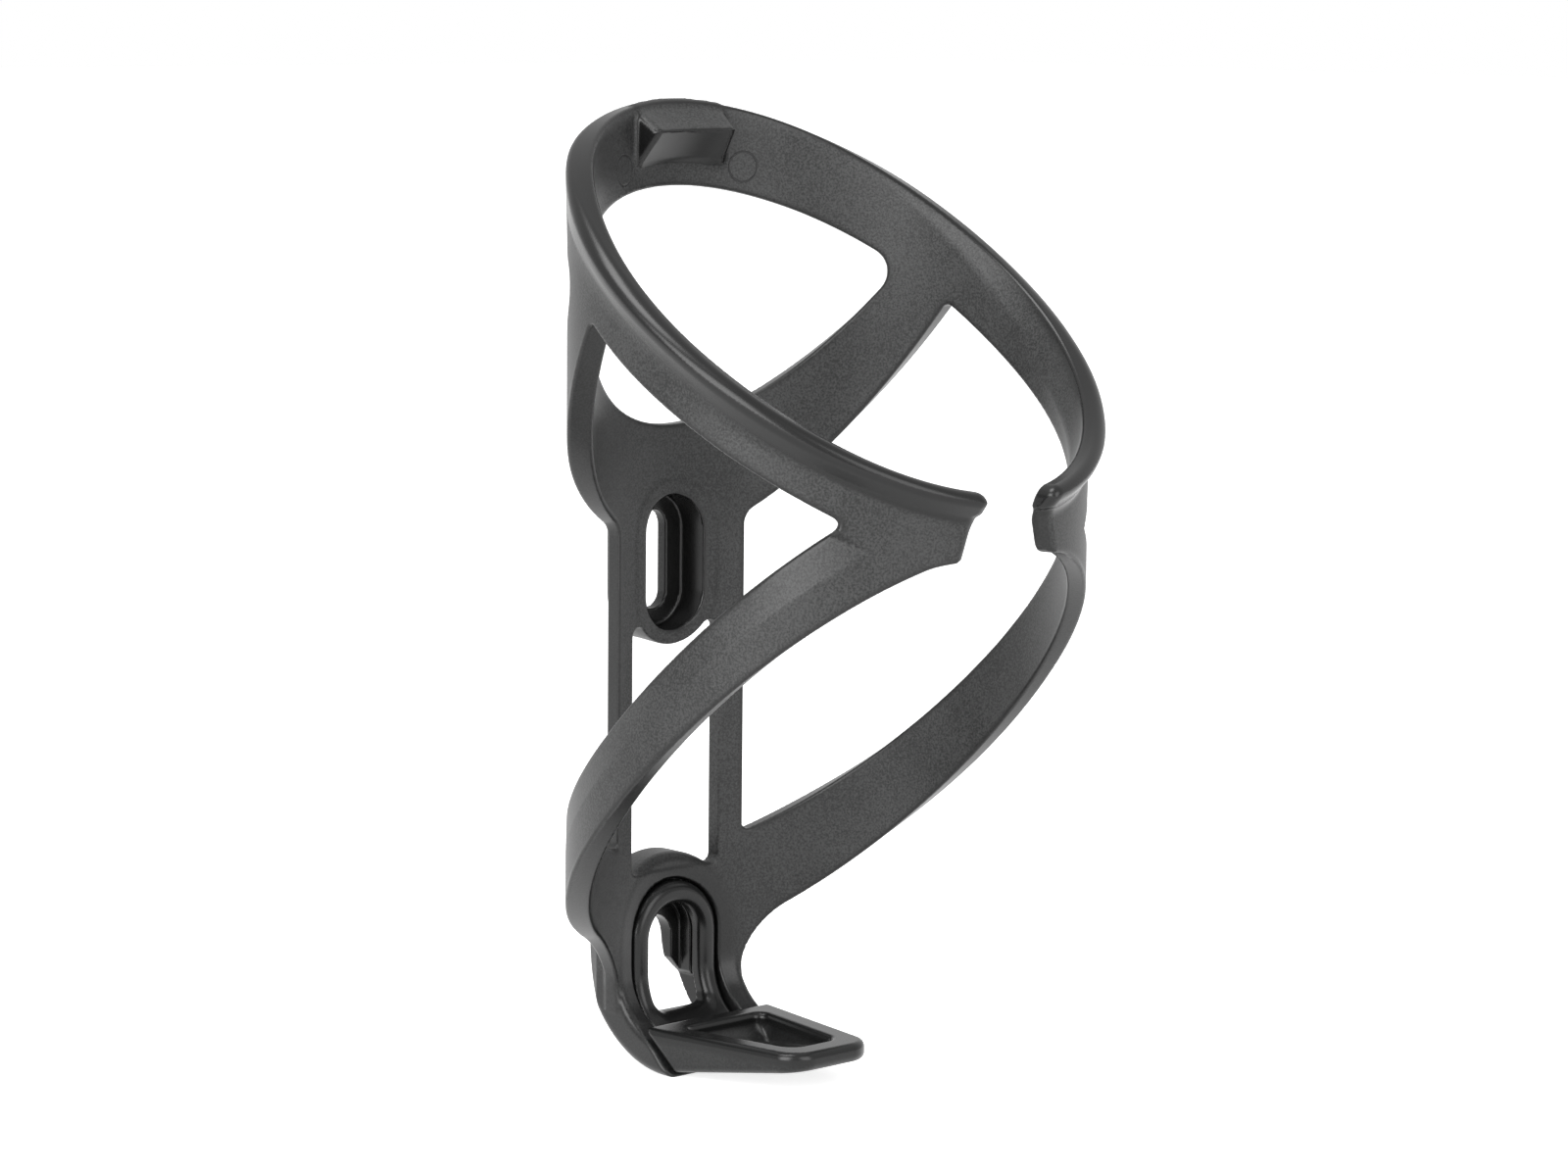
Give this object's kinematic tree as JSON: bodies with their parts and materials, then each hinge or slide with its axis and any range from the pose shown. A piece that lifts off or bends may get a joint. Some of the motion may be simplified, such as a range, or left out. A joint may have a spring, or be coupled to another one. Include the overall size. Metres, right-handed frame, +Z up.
{
  "type": "water bottle cage",
  "caption": "Moulded plastic bicycle water bottle cage with a sloping hoop, side arms, a window spine and a separate forward-facing foot.",
  "frame": {"origin": "centre of the upper bolt slot, in the plane where the cage rests on the bike tube", "axes": "+Z up along the bottle and the bike tube, +Y into the tube, -Y towards the bottle and the front gap, +X across"},
  "size_m": [0.0842, 0.0856, 0.1555],
  "materials": {
    "body_plastic": "fine spark-eroded grain, glass-filled nylon, satin edges",
    "foot_plastic": "fine grain, a little darker than the body"
  },
  "bodies": {
    "body": {"spine": "body_plastic", "upper_standoff": "body_plastic", "heel": "body_plastic", "rear_hoop": "body_plastic", "hoop_catch": "body_plastic", "left_hoop_side": "body_plastic", "right_hoop_side": "body_plastic", "left_front_clip": "body_plastic", "right_front_clip": "body_plastic", "left_upper_stay": "body_plastic", "right_upper_stay": "body_plastic", "left_lower_arm": "body_plastic", "right_lower_arm": "body_plastic"},
    "foot": {"foot_arch": "foot_plastic", "foot_shelf": "foot_plastic"}
  },
  "joints": [
    {"name": "foot_slide", "type": "slide", "parent": "body", "child": "foot", "axis": [0, -1, 0], "range_m": [0, 0.016]}
  ]
}
